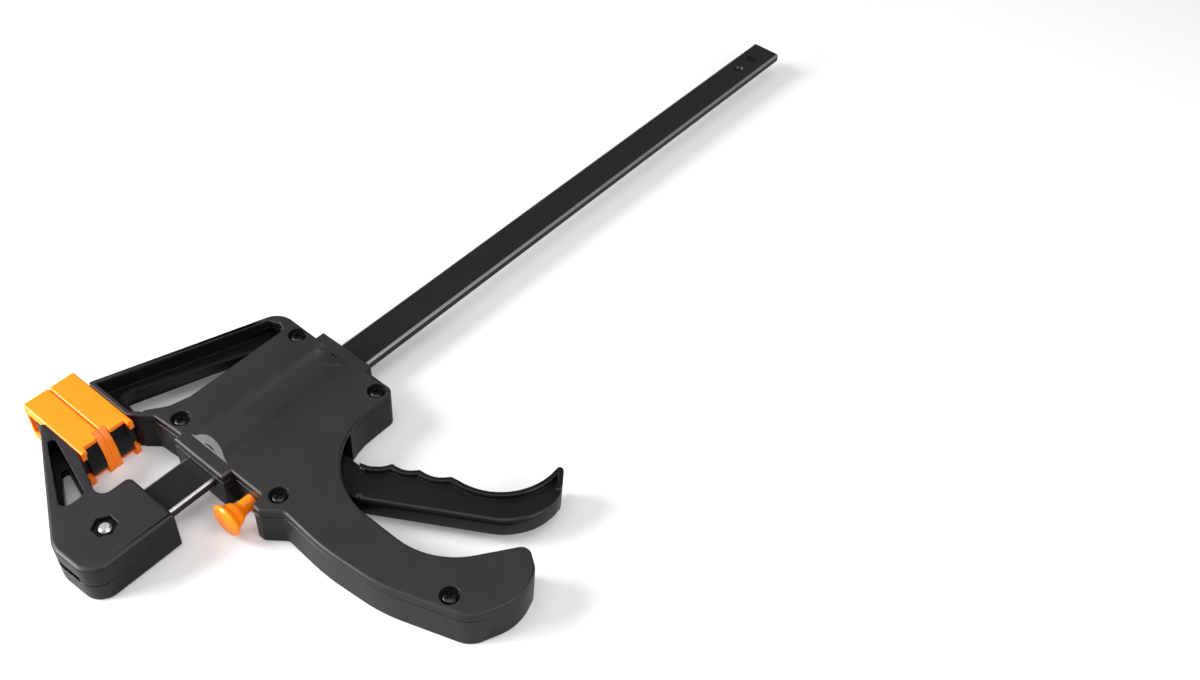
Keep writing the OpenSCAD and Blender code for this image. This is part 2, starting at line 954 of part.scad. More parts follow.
module brake_plate() {
    hole = (bar_w + plate_t * sin(brake_tilt)) / cos(brake_tilt) + 4 * grip_gap;
    color(zinc)
        translate([brake_pin[0], brake_pin[1], 0])
            rotate([0, 0, -brake_tilt])
                translate([brake_pin_d / 2 + 0.25, -brake_pin[1], 0])
                    difference() {
                        box(0, plate_t, -button_y - 3.5, brake_fulcrum[1] + 0.5,
                            bar_z - plate_h / 2, bar_z + plate_h / 2);
                        box(-1, plate_t + 1, -hole / 2, hole / 2,
                            bar_z - bar_t / 2 - grip_gap, bar_z + bar_t / 2 + grip_gap);
                    }
}

// ---- Springs: round wire wound on a helix, one tube each ----

function helix_point(r, pitch, a) = [pitch * a / 360, r * cos(a), r * sin(a)];

module coil(r, wire, turns, length) {
    rings_per_turn = 16;
    sides = 6;
    pitch = (length - wire) / turns;
    n = turns * rings_per_turn;
    slope = atan2(pitch, 2 * PI * r);
    points = [for (i = [0:n])
        let (a = 360 * i / rings_per_turn,
             c = helix_point(r, pitch, a),
             radial = [0, cos(a), sin(a)],
             along = [sin(slope), -sin(a) * cos(slope), cos(a) * cos(slope)],
             side = cross(along, radial))
        each [for (j = [0:sides - 1])
            let (b = 360 * j / sides)
            c + wire / 2 * (cos(b) * radial + sin(b) * side)]];
    ends = [[for (j = [0:sides - 1]) j], [for (j = [sides - 1:-1:0]) n * sides + j]];
    skin_faces = [for (i = [0:n - 1], j = [0:sides - 1])
        let (k = (j + 1) % sides)
        each [[i * sides + j, (i + 1) * sides + j, (i + 1) * sides + k],
              [i * sides + j, (i + 1) * sides + k, i * sides + k]]];
    translate([wire / 2, 0, 0])
        polyhedron(points = points, faces = concat(ends, skin_faces), convexity = 10);
}

module drive_spring() {
    color(zinc)
        translate([spring_x + gap, 0, bar_z])
            coil(9.2, drive_wire, drive_turns, rear - wall - spring_x - 2 * gap);
}

module brake_spring() {
    start = brake_fulcrum[0] + plate_t / 2 / cos(brake_tilt)
        + (brake_spring_y - brake_fulcrum[1]) * tan(brake_tilt) + 0.7;
    color(zinc)
        translate([start, brake_spring_y, mid_z])
            coil(2.8, brake_wire, brake_turns, brake_seat_x - gap - start);
}

// ---- Release button ----

module release_button() {
    inner = front + wall + 0.9;
    reach_in = brake_fulcrum[0] - brake_arm * sin(brake_tilt) - plate_t / 2 - 0.5;
    outer = front - button_l;
    stem_r = button_stem_d / 2;
    color(orange)
        translate([0, -button_y, mid_z])
            rotate([0, 90, 0])
                rotate_extrude()
                    polygon([
                        [0, outer],
                        [button_d / 2 - 3, outer + 0.1],
                        [button_d / 2 - 0.8, outer + 0.6],
                        [button_d / 2, outer + 1.6],
                        [button_d / 2 - 0.3, outer + 2.4],
                        [button_d / 2 - 1.8, outer + 4],
                        [stem_r + 1.6, outer + 6.4],
                        [stem_r + 0.4, outer + 8],
                        [stem_r, outer + 9],
                        [stem_r, inner],
                        [stem_r + 1.2, inner],
                        [stem_r + 1.2, inner + 1],
                        [stem_r, inner + 1],
                        [stem_r - 0.4, reach_in],
                        [0, reach_in]
                    ]);
}

housing();
cover();
cover_screws();
body_jaw_pad();
trigger();
trigger_pin();
trigger_push_pin();
drive_plate_front();
drive_plate_rear();
spring_seat();
drive_spring();
brake_pin();
brake_plate();
brake_spring();
release_button();
bar();
bar_jaw();
jaw_bolt();
jaw_nut();
jaw_washer();
bar_jaw_pad();
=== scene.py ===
import math

import bmesh
import bpy
from mathutils import Matrix, Vector
from mathutils.geometry import delaunay_2d_cdt


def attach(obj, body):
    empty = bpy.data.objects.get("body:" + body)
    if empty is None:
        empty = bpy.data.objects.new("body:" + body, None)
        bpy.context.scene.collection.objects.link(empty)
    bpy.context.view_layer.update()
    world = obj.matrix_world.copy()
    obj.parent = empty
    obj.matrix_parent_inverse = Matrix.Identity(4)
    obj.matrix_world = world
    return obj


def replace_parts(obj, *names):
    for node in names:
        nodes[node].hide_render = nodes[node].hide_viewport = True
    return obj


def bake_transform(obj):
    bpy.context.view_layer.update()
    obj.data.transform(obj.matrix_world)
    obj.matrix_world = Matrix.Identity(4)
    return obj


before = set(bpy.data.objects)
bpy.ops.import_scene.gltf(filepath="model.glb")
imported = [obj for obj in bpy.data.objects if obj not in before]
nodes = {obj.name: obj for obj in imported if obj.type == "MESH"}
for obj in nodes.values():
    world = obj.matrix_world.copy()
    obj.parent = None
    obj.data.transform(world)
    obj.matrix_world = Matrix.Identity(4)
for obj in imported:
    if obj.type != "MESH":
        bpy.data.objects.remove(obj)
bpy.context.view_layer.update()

MM = 0.001


# ---- The bench, the lamps and the camera ----
# The clamp lies on a white paper sheet in a pale room. Two softboxes stand at the
# camera's left, and the low one draws bright lines along the rounded edges of the
# black plastic. Two weaker ones fill in from above and from the right.

SHEET_HALF = 3         # metres, enough to fill every view
SHEET_Z = -0.05        # just under the clamp
PAPER_GLOW = 0.12      # turns the seen paper white without more light on the clamp
ROOM_LIGHT = 0.22


def linear(code):
    """A hex sRGB colour as linear red, green, blue and alpha."""
    parts = [int(code[i:i + 2], 16) / 255 for i in (1, 3, 5)]
    return [c / 12.92 if c <= 0.04045 else ((c + 0.055) / 1.055) ** 2.4 for c in parts] + [1]


def add(tree, kind, inputs=None, **settings):
    """Adds a node to a tree with its settings, values and links."""
    node = tree.nodes.new(kind)
    for name, value in settings.items():
        setattr(node, name, value)
    for name, value in (inputs or {}).items():
        if isinstance(value, bpy.types.NodeSocket):
            tree.links.new(value, node.inputs[name])
        else:
            node.inputs[name].default_value = value
    return node


def put(name, data):
    """A new object in the scene."""
    thing = bpy.data.objects.new(name, data)
    bpy.context.scene.collection.objects.link(thing)
    return thing


def surface(name):
    """A new material with its tree, its Principled shader and its object coordinates."""
    material = bpy.data.materials.new(name)
    material.use_nodes = True
    tree = material.node_tree
    where = add(tree, "ShaderNodeTexCoord").outputs["Object"]
    return material, tree, tree.nodes["Principled BSDF"], where


def white_paper():
    """Matt white paper. Black plastic mirrors the sheet only faintly in the photo, so that
    mirrors see it grey."""
    material, tree, bsdf, _ = surface("white_paper")
    rays = add(tree, "ShaderNodeLightPath").outputs
    seen = add(tree, "ShaderNodeMath", {0: rays["Is Camera Ray"], 1: rays["Is Glossy Ray"]},
               operation="MAXIMUM")
    clear = add(tree, "ShaderNodeMath", {0: seen.outputs[0], 1: rays["Is Transmission Ray"]},
                operation="MAXIMUM")
    lift = add(tree, "ShaderNodeMath", {0: clear.outputs[0], 1: PAPER_GLOW}, operation="MULTIPLY")
    tint = add(tree, "ShaderNodeMix",
               {"Factor": rays["Is Glossy Ray"], "A": linear("#f0f0f0"), "B": linear("#a6a6a6")},
               data_type="RGBA")
    tree.links.new(tint.outputs["Result"], bsdf.inputs["Base Color"])
    tree.links.new(lift.outputs[0], bsdf.inputs["Emission Strength"])
    bsdf.inputs["Emission Color"].default_value = linear("#ffffff")
    bsdf.inputs["Roughness"].default_value = 0.9
    bsdf.inputs["Specular IOR Level"].default_value = 0.1
    return material


def soft_room():
    """A pale room, which the camera and glass see as pure white."""
    world = bpy.data.worlds.new("soft_room")
    world.use_nodes = True
    tree = world.node_tree
    tree.nodes.clear()
    rays = add(tree, "ShaderNodeLightPath").outputs
    seen = add(tree, "ShaderNodeMath", {0: rays["Is Camera Ray"], 1: rays["Is Transmission Ray"]},
               operation="MAXIMUM")
    room = add(tree, "ShaderNodeBackground", {"Color": linear("#f4f5f8"), "Strength": ROOM_LIGHT})
    white = add(tree, "ShaderNodeBackground", {"Color": linear("#ffffff"), "Strength": 1.0})
    mixed = add(tree, "ShaderNodeMixShader",
                {0: seen.outputs[0], 1: room.outputs[0], 2: white.outputs[0]})
    add(tree, "ShaderNodeOutputWorld", {"Surface": mixed.outputs[0]})
    return world


sheet_mesh = bpy.data.meshes.new("white_sheet")
sheet_mesh.from_pydata([(x * SHEET_HALF, y * SHEET_HALF, SHEET_Z * MM)
                        for x, y in ((-1, -1), (1, -1), (1, 1), (-1, 1))], [], [(0, 1, 2, 3)])
sheet_mesh.materials.append(white_paper())
sheet = put("white_sheet", sheet_mesh)
bpy.context.scene.world = soft_room()


def softbox(name, place, aim, size, power):
    """A square lamp at a place in metres, turned towards a point."""
    lamp = bpy.data.lights.new(name, "AREA")
    lamp.shape = "SQUARE"
    lamp.size = size
    lamp.energy = power
    turn = (Vector(aim) - Vector(place)).to_track_quat("-Z", "Y").to_matrix().to_4x4()
    put(name, lamp).matrix_world = Matrix.Translation(place) @ turn


softbox("softbox_key", (-0.7, 0.85, 0.85), (0.03, 0, 0), size=0.6, power=18)
softbox("softbox_overhead", (-0.1, -0.1, 1.2), (0.06, 0, 0), size=0.9, power=5)
softbox("softbox_left", (-1.0, 0.62, 0.27), (-0.03, 0, 0), size=0.45, power=22)
softbox("softbox_front", (0.1, -1.0, 0.6), (-0.06, 0, 0), size=0.5, power=6)

# The camera stands in front of the grip, 41 cm up, and looks 47 degrees down.
LENS = 37.18
SENSOR_W = 36
PITCH = 0.81276        # radians, as ROLL and BAR_TURN
ROLL = -0.102475
BAR_TURN = 0.970179    # how far the camera is turned round from the bar's own axes
CAMERA_PLACE = (-188.95 * MM, -284.5 * MM, 409.36 * MM)

ahead = Vector((0, math.cos(PITCH), -math.sin(PITCH)))
below = Vector((0, -math.sin(PITCH), -math.cos(PITCH)))
across = Vector((1, 0, 0))
right = math.cos(ROLL) * across + math.sin(ROLL) * below
down = -math.sin(ROLL) * across + math.cos(ROLL) * below
axes = Matrix((right, -down, -ahead)).transposed().to_4x4()
camera_data = bpy.data.cameras.new("camera")
camera_data.lens = LENS
camera_data.sensor_width = SENSOR_W
camera_data.clip_start = 10 * MM
camera = put("camera", camera_data)
camera.matrix_world = Matrix.Translation(CAMERA_PLACE) @ Matrix.Rotation(-BAR_TURN, 4, "Z") @ axes
bpy.context.scene.camera = camera
bpy.context.scene.view_settings.view_transform = "Standard"


# ---- Housing and cover ----
# Glass-filled nylon, injection moulded in two halves that meet at a seam and are
# held by screws. The flat sides carry the mould's spark-eroded grain; the walls
# and the strut's deep webs come out of the mould smoother and shinier, and their
# darker colour is partly that finish's deeper black and partly painted shade.


def span(node, axis):
    """A CAD node's least and greatest coordinate along an axis, in mm to 0.01."""
    values = [v.co["XYZ".index(axis)] / MM for v in nodes[node].data.vertices]
    return round(min(values), 2), round(max(values), 2)


BODY_T = span("housing", "Z")[1]  # from the sheet up
HOUSING_SEAM = 16      # the housing's upper rim
COVER_SEAM = 16.05     # the cover's lower rim
SEAM_R = 0.3
BOX_EDGE_R = 1.1       # round the cover's top edge and the housing's bottom edge
STRUT_EDGE_R = 0.5     # on the strut's thin rims
STRUT_Y = 28.5         # all that lies past the box's far wall is strut,
STRUT_SIDE = (-37.5, 20)  # and so is what lies past this corner of the box

# the nylon's surface
PIT = 0.5              # sparks leave pits about 0.3 mm wide; drawn wider so that they show
PIT_DEPTH = 0.05
FLOW = 20              # the melt's flow leaves cloudy patches this far across
TOP_GRAIN = 18.6       # the upper side's grain starts at this height
GRAIN_FADE = 0.7       # and takes this much more to its full depth
UNDER_GRAIN = (1.2, 0.6)    # heights where the underside's grain starts and is full
NYLON_ROUGH = (0.28, 0.43)  # smooth, grained
NYLON_BUMP = (0.1, 0.6)     # smooth, grained
HAND_EDGE = 0.35            # how far in from an edge hands have polished it
HANDLED = (0.985, 0.85)     # cosines of an edge's lean where its wear starts and is full
EDGE_WEAR = 0.4
FLOW_SHINE = 0.04           # what the patches add to the roughness or take from it
NOISE = {"From Min": 0.3, "From Max": 0.7}  # nearly all of a noise's values lie in this


def black_nylon(name, grained_from):
    """Glass-filled nylon, moulded. It is grained and dull above a height in mm and on its
    underside, and smooth, shiny and darker between them; that darker colour is partly the
    smooth finish's deeper black and partly painted shade in the recesses."""
    material, tree, bsdf, where = surface(name)
    height = add(tree, "ShaderNodeSeparateXYZ", {0: where}).outputs["Z"]
    above = add(tree, "ShaderNodeMapRange",
                {"Value": height, "From Min": grained_from * MM,
                 "From Max": (grained_from + GRAIN_FADE) * MM})
    under = add(tree, "ShaderNodeMapRange",
                {"Value": height, "From Min": UNDER_GRAIN[0] * MM, "From Max": UNDER_GRAIN[1] * MM})
    grained = add(tree, "ShaderNodeMath", {0: above.outputs[0], 1: under.outputs[0]},
                  operation="MAXIMUM")
    grain = add(tree, "ShaderNodeTexNoise",
                {"Vector": where, "Scale": 1 / (PIT * MM), "Detail": 3.0, "Roughness": 0.6})
    cloud = add(tree, "ShaderNodeTexNoise",
                {"Vector": where, "Scale": 1 / (FLOW * MM), "Detail": 4.0, "Roughness": 0.55})
    # Between the grained zones the colour is darker: partly the smooth finish's deeper black, partly
    # painted shade in the walls and recessed webs.
    smooth_tint_and_painted_shade = add(tree, "ShaderNodeMix",
                      {"Factor": cloud.outputs[0], "A": linear("#0f0e10"), "B": linear("#151416")},
                      data_type="RGBA")
    grain_tint = add(tree, "ShaderNodeMix",
                     {"Factor": cloud.outputs[0], "A": linear("#262326"), "B": linear("#2d2a2d")},
                     data_type="RGBA")
    tint = add(tree, "ShaderNodeMix",
               {"Factor": grained.outputs[0], "A": smooth_tint_and_painted_shade.outputs["Result"],
                "B": grain_tint.outputs["Result"]}, data_type="RGBA")
    # hands polish the edges and leave them a little paler
    rounded = add(tree, "ShaderNodeBevel", {"Radius": HAND_EDGE * MM}, samples=4)
    flat = add(tree, "ShaderNodeNewGeometry")
    lean = add(tree, "ShaderNodeVectorMath",
               {0: rounded.outputs[0], 1: flat.outputs["True Normal"]}, operation="DOT_PRODUCT")
    edge_mark = add(tree, "ShaderNodeMapRange",
               {"Value": lean.outputs["Value"], "From Min": HANDLED[0], "From Max": HANDLED[1],
                "To Min": 0.0, "To Max": EDGE_WEAR})
    pale = add(tree, "ShaderNodeMix",
               {"Factor": edge_mark.outputs[0], "A": tint.outputs["Result"], "B": linear("#4c4b4d")},
               data_type="RGBA")
    dull = add(tree, "ShaderNodeMapRange",
               {"Value": grained.outputs[0], "To Min": NYLON_ROUGH[0], "To Max": NYLON_ROUGH[1]})
    shine = add(tree, "ShaderNodeMapRange",
                {"Value": cloud.outputs[0], **NOISE, "To Min": -FLOW_SHINE, "To Max": FLOW_SHINE})
    rough = add(tree, "ShaderNodeMath", {0: dull.outputs[0], 1: shine.outputs[0]}, operation="ADD")
    depth = add(tree, "ShaderNodeMapRange",
                {"Value": grained.outputs[0], "To Min": NYLON_BUMP[0], "To Max": NYLON_BUMP[1]})
    bump = add(tree, "ShaderNodeBump",
               {"Height": grain.outputs[0], "Strength": depth.outputs[0], "Distance": PIT_DEPTH * MM,
                "Normal": rounded.outputs[0]})
    tree.links.new(pale.outputs["Result"], bsdf.inputs["Base Color"])
    tree.links.new(rough.outputs[0], bsdf.inputs["Roughness"])
    tree.links.new(bump.outputs[0], bsdf.inputs["Normal"])
    bsdf.inputs["IOR"].default_value = 1.46
    bsdf.inputs["Specular IOR Level"].default_value = 0.35
    return material


# the rounds on copies of the CAD pieces
RIM_STEPS = 4          # facets in a quarter round
MITRE_LEAST = 0.4      # stops a ring from running off at a sharp corner
SHARP_EDGE = 34        # degrees; an edge sharper than this shows as a line
DOUBLES = 0.002        # vertices this near are one
RING_DOUBLES = 0.0005  # the same on finished rings
SAME_PLANE = 0.01
SAME_POINT = 0.00001
FACING = 0.9           # how far a flat face's normal has to point up or down


def merged(node):
    """A copy of a CAD node's mesh as a bmesh, with its doubles merged."""
    work = bmesh.new()
    work.from_mesh(nodes[node].data)
    bmesh.ops.remove_doubles(work, verts=work.verts, dist=DOUBLES * MM)
    return work


def thing_from(work, name, material=None):
    """Turns a bmesh into an object in the scene."""
    mesh = bpy.data.meshes.new(name)
    work.to_mesh(mesh)
    work.free()
    if material:
        mesh.materials.append(material)
    return put(name, mesh)


def finish_piece(work, name, material, body):
    """Turns a bmesh into a smooth-shaded piece that rides on a body."""
    work.normal_update()
    for edge in work.edges:
        edge.smooth = len(edge.link_faces) == 2 and edge.calc_face_angle() < math.radians(SHARP_EDGE)
    for face in work.faces:
        face.smooth = True
    piece = thing_from(work, name, material)
    weighted = piece.modifiers.new("weighted_normals", "WEIGHTED_NORMAL")
    weighted.mode = "FACE_AREA_WITH_ANGLE"
    weighted.keep_sharp = True
    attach(piece, body)
    return piece


def rims(work, z, up):
    """The flat faces at a height in mm that face up (1) or down (-1), and the closed
    loops of vertices round them, each with the flat face on its left."""
    flat = [f for f in work.faces
            if f.normal.z * up > FACING
            and all(abs(v.co.z - z * MM) < SAME_PLANE * MM for v in f.verts)]
    inside = set(flat)

    def across(corner):
        """The corner on the other side of an edge, if that side is flat too."""
        for other in corner.edge.link_loops:
            if other.face is not corner.face and other.face in inside:
                return other

    rest = dict.fromkeys(corner for face in flat for corner in face.loops if not across(corner))
    loops = []
    while rest:
        corner = next(iter(rest))
        loop = []
        while corner in rest:
            del rest[corner]
            loop.append(corner.vert)
            corner = corner.link_loop_next
            while across(corner):
                corner = across(corner).link_loop_next
        loops.append(loop)
    return flat, loops


def area(loop, up):
    """The signed area in square mm: positive round a flat face, negative round a hole."""
    total = 0
    for a, b in zip(loop, loop[1:] + loop[:1]):
        total += a.co.x * b.co.y - b.co.x * a.co.y
    return total * up / 2 / MM ** 2


def turns(p, segments):
    """How often outlines wind round a point against the clock: 0 outside them or in a hole."""
    total = 0
    for a, b in segments:
        if (a.y > p.y) != (b.y > p.y):
            left = (b.x - a.x) * (p.y - a.y) - (p.x - a.x) * (b.y - a.y)
            if (b.y > a.y) == (left > 0):
                total += 1 if b.y > a.y else -1
    return total


def inward(loop, up):
    """For each vertex of a loop, the way onto the flat face that sets both its edges in by 1."""
    ways = []
    for i, v in enumerate(loop):
        d1 = (v.co - loop[i - 1].co).to_2d().normalized()
        d2 = (loop[(i + 1) % len(loop)].co - v.co).to_2d().normalized()
        n1 = Vector((-d1.y, d1.x)) * up
        n2 = Vector((-d2.y, d2.x)) * up
        middle = (n1 + n2).normalized()
        ways.append(middle / max(middle.dot(n1), MITRE_LEAST))
    return ways


def quarter_round(work, loop, radii, plane, up):
    """Sinks a loop, sets rings of a quarter round on it and gives the last ring, which lies
    in the plane."""
    if max(radii) == 0:
        return loop
    ways = inward(loop, up)
    rings = [loop]
    for k in range(1, RIM_STEPS + 1):
        a = math.pi / 2 * k / RIM_STEPS
        rings.append([work.verts.new((v.co.x + w.x * r * (1 - math.cos(a)),
                                      v.co.y + w.y * r * (1 - math.cos(a)),
                                      plane - up * r * (1 - math.sin(a))))
                      for v, w, r in zip(loop, ways, radii)])
    for v, r in zip(loop, radii):
        v.co.z = plane - up * r
    for low, high in zip(rings, rings[1:]):
        for i in range(len(loop)):
            j = (i + 1) % len(loop)
            work.faces.new((low[i], low[j], high[j], high[i]))
    return rings[-1]


def fill_flat(work, outlines, plane, up):
    """Fills what closed outlines enclose with flat triangles. A vertex is added wherever two
    of them cross."""
    owners = [v for outline in outlines for v in outline]
    points = [v.co.to_2d() / MM for v in owners]
    ends = []
    for outline in outlines:
        first = len(ends)
        n = len(outline)
        ends += [(first + i, first + (i + 1) % n) for i in range(n)]
    segments = [(points[a], points[b]) for a, b in ends]
    places, _, triangles, origins, _, _ = delaunay_2d_cdt(points, ends, [], 0, SAME_POINT)
    placed = [owners[origin[0]] if origin else work.verts.new((at.x * MM, at.y * MM, plane))
              for at, origin in zip(places, origins)]
    for triangle in triangles:
        centre = sum((places[i] for i in triangle), Vector((0, 0))) / 3
        corners = [placed[i] for i in triangle]
        if len(set(corners)) == 3 and up * turns(centre, segments) >= 1:
            if up < 0:
                corners.reverse()
            work.faces.new(corners)


def round_rims(work, z, up, radius):
    """Rounds the rims at a height. radius gives each vertex's radius in mm from its place in
    mm and its loop's area. A radius of 0 stays sharp, and so does the foot of a step."""
    flat, loops = rims(work, z, up)
    plane = z * MM
    foot = {v for loop in loops for v in loop
            if any(up * (f.calc_center_median().z - plane) > SAME_PLANE * MM for f in v.link_faces)}
    outlines = []
    for loop in loops:
        size = area(loop, up)
        radii = [0 if v in foot else radius(v.co.x / MM, v.co.y / MM, size) * MM for v in loop]
        outlines.append(quarter_round(work, loop, radii, plane, up))
    bmesh.ops.delete(work, geom=flat, context="FACES_KEEP_BOUNDARY")
    fill_flat(work, outlines, plane, up)


def rounded_copy(node, jobs, material, body):
    """A copy of a CAD node with its rims rounded. Each job is what one call of round_rims
    takes."""
    work = merged(node)
    for job in jobs:
        work.normal_update()
        round_rims(work, *job)
    # rings of radius 0 lie on one another
    bmesh.ops.remove_doubles(work, verts=work.verts, dist=RING_DOUBLES * MM)
    bmesh.ops.dissolve_degenerate(work, edges=work.edges, dist=RING_DOUBLES * MM)
    # slivers stay open where rings cross in a tight corner
    bmesh.ops.holes_fill(work, edges=[e for e in work.edges if len(e.link_faces) == 1], sides=0)
    piece = finish_piece(work, node + "_rounded", material, body)
    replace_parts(piece, node)


def box_rim(x, y, size):
    """Radius on the cover's top and the housing's underside: less on the strut, none on holes."""
    if size < 0:
        return 0
    strut = y > STRUT_Y or x < STRUT_SIDE[0] and y > STRUT_SIDE[1]
    return STRUT_EDGE_R if strut else BOX_EDGE_R


def strut_rim(x, y, size):
    """Radius on the strut's thin rim, which is all of the housing that reaches full height."""
    return STRUT_EDGE_R


def seam_rim(x, y, size):
    """Radius along the seam, where the two halves' edges make a fine groove."""
    return SEAM_R if size > 0 else 0


nylon = black_nylon("moulded_black_nylon", TOP_GRAIN)
rounded_copy("housing", [(BODY_T, 1, strut_rim), (HOUSING_SEAM, 1, seam_rim), (0, -1, box_rim)],
             nylon, "body")
rounded_copy("cover", [(BODY_T, 1, box_rim), (COVER_SEAM, -1, seam_rim)],
             nylon, "body")


# ---- Cover screws ----
# Five black steel pan-head screws with a cross recess, sunk in round pockets. Each
# is a lathe-turned head with a punched cross, set at its own random turn.

SCREW_SEED = 11
SCREW_APART = 8        # what lies nearer than this is one screw
HEAD_R = 3.1
HEAD_SEAT = 17.8       # the pockets' floor
HEAD_H = 1.6
HEAD_BAND = 0.25       # the upright band under the dome
DOME_POWER = 0.55      # under 1 makes the dome's shoulder fuller than a circle's
HEAD_SIDES = 40
HEAD_SHARP = 40        # degrees
CROSS_LONG = 1.65
CROSS_HALF = 0.36
CROSS_DEPTH = 0.95
PUNCH_OUT = 0.3        # how far the punch stands out of the head
MOTTLE = 1.2           # the plating's crystals, drawn coarser than real ones so that they show
MOTTLE_SHINE = 0.06    # what they add to the roughness or take from it


def prism(points, axis, low, high):
    """A prism as a bmesh: an outline in mm, drawn across X or Z, from low to high."""
    work = bmesh.new()
    order = {"X": (2, 0, 1), "Z": (0, 1, 2)}[axis]
    rings = []
    for h in (low, high):
        ring = []
        for p in points:
            values = (p[0], p[1], h)
            ring.append(work.verts.new(Vector([values[i] for i in order]) * MM))
        rings.append(ring)
    work.faces.new(rings[0][::-1])
    work.faces.new(rings[1])
    for i in range(len(points)):
        j = (i + 1) % len(points)
        work.faces.new((rings[0][i], rings[0][j], rings[1][j], rings[1][i]))
    bmesh.ops.recalc_face_normals(work, faces=work.faces)
    return work


def brick(x0, x1, y0, y1, z0, z1):
    """A block for cutting, as a bmesh, in mm."""
    return prism([(x0, y0), (x1, y0), (x1, y1), (x0, y1)], "Z", z0, z1)


def lathe(profile, steps):
    """A closed turned shape about the upright axis, as a bmesh. Each point of the profile is
    a radius and a height in mm; the first and last are on the axis."""
    work = bmesh.new()
    rings = []
    for r, z in profile:
        if r == 0:
            rings.append([work.verts.new(Vector((0, 0, z)) * MM)])
        else:
            rings.append([work.verts.new(Vector((r * math.cos(a), r * math.sin(a), z)) * MM)
                          for a in (2 * math.pi * i / steps for i in range(steps))])
    for low, high in zip(rings, rings[1:]):
        for i in range(steps):
            j = (i + 1) % steps
            if len(low) == 1:
                work.faces.new((low[0], high[j], high[i]))
            elif len(high) == 1:
                work.faces.new((low[i], low[j], high[0]))
            else:
                work.faces.new((low[i], low[j], high[j], high[i]))
    bmesh.ops.recalc_face_normals(work, faces=work.faces)
    return work


def carved(work, cutters):
    """Cuts closed shapes out of a bmesh and gives the result as a bmesh."""
    blank = thing_from(work, "blank")
    tools = [thing_from(cutter, "cutter") for cutter in cutters]
    for tool in tools:
        cut = blank.modifiers.new("cut", "BOOLEAN")
        cut.operation = "DIFFERENCE"
        cut.solver = "EXACT"
        cut.object = tool
    bpy.context.view_layer.update()
    result = bmesh.new()
    result.from_mesh(blank.evaluated_get(bpy.context.evaluated_depsgraph_get()).to_mesh())
    bmesh.ops.remove_doubles(result, verts=result.verts, dist=DOUBLES * MM)
    for thing in [blank] + tools:
        bpy.data.objects.remove(thing)
    return result


def plated(name, dark, light, rough):
    """Plated or blackened steel, which the coating's crystals mottle faintly."""
    material, tree, bsdf, where = surface(name)
    mottle = add(tree, "ShaderNodeTexNoise", {"Vector": where, "Scale": 1 / (MOTTLE * MM), "Detail": 4.0})
    tint = add(tree, "ShaderNodeMix",
               {"Factor": mottle.outputs[0], "A": linear(dark), "B": linear(light)}, data_type="RGBA")
    shine = add(tree, "ShaderNodeMapRange",
                {"Value": mottle.outputs[0], **NOISE, "To Min": rough - MOTTLE_SHINE,
                 "To Max": rough + MOTTLE_SHINE})
    tree.links.new(tint.outputs["Result"], bsdf.inputs["Base Color"])
    tree.links.new(shine.outputs[0], bsdf.inputs["Roughness"])
    bsdf.inputs["Metallic"].default_value = 1.0
    return material


def screw_places():
    """The middle of each cover screw across X and Y, in mm to 0.01."""
    groups = []
    for place in (v.co.to_2d() / MM for v in nodes["cover_screws"].data.vertices):
        for group in groups:
            if (place - group[0]).length < SCREW_APART:
                group.append(place)
                break
        else:
            groups.append([place])
    return [[round((min(p[i] for p in group) + max(p[i] for p in group)) / 2, 2) for i in (0, 1)]
            for group in groups]


def pan_head():
    """One screw's head on the upright axis, with its cross punched in."""
    top = HEAD_SEAT + HEAD_H
    band = HEAD_SEAT + HEAD_BAND
    dome = [(HEAD_R * math.cos(a) ** DOME_POWER, band + (HEAD_H - HEAD_BAND) * math.sin(a))
            for a in (math.radians(d) for d in range(0, 86, 9))]
    punch = (top - CROSS_DEPTH, top + PUNCH_OUT)
    head = carved(lathe([(0, HEAD_SEAT), (HEAD_R, HEAD_SEAT)] + dome + [(0, top)], HEAD_SIDES), [
        brick(-CROSS_LONG, CROSS_LONG, -CROSS_HALF, CROSS_HALF, *punch),
        brick(-CROSS_HALF, CROSS_HALF, -CROSS_LONG, CROSS_LONG, *punch),
    ])
    thing = thing_from(head, "pan_head")
    thing.data.shade_smooth()
    thing.data.set_sharp_from_angle(angle=math.radians(HEAD_SHARP))
    return thing


black_oxide = plated("black_oxide_steel", "#2b2a2c", "#444345", rough=0.3)
head = pan_head()

# each head is turned at random about its screw's own axis
screw_tree = bpy.data.node_groups.new("set_screws", "GeometryNodeTree")
for name, kind, way in (("Geometry", "NodeSocketGeometry", "INPUT"),
                        ("Head", "NodeSocketObject", "INPUT"),
                        ("Seed", "NodeSocketInt", "INPUT"),
                        ("Finish", "NodeSocketMaterial", "INPUT"),
                        ("Geometry", "NodeSocketGeometry", "OUTPUT")):
    screw_tree.interface.new_socket(name=name, in_out=way, socket_type=kind)
given = add(screw_tree, "NodeGroupInput")
head_info = add(screw_tree, "GeometryNodeObjectInfo", {"Object": given.outputs["Head"]})
spin = add(screw_tree, "FunctionNodeRandomValue",
           {"Min": (0, 0, 0), "Max": (0, 0, 2 * math.pi), "Seed": given.outputs["Seed"]},
           data_type="FLOAT_VECTOR")
turned = add(screw_tree, "FunctionNodeEulerToRotation", {0: spin.outputs["Value"]})
placed = add(screw_tree, "GeometryNodeInstanceOnPoints",
             {"Points": given.outputs["Geometry"], "Instance": head_info.outputs["Geometry"],
              "Rotation": turned.outputs[0]})
real = add(screw_tree, "GeometryNodeRealizeInstances", {"Geometry": placed.outputs[0]})
painted = add(screw_tree, "GeometryNodeSetMaterial",
              {"Geometry": real.outputs[0], "Material": given.outputs["Finish"]})
add(screw_tree, "NodeGroupOutput", {0: painted.outputs[0]})

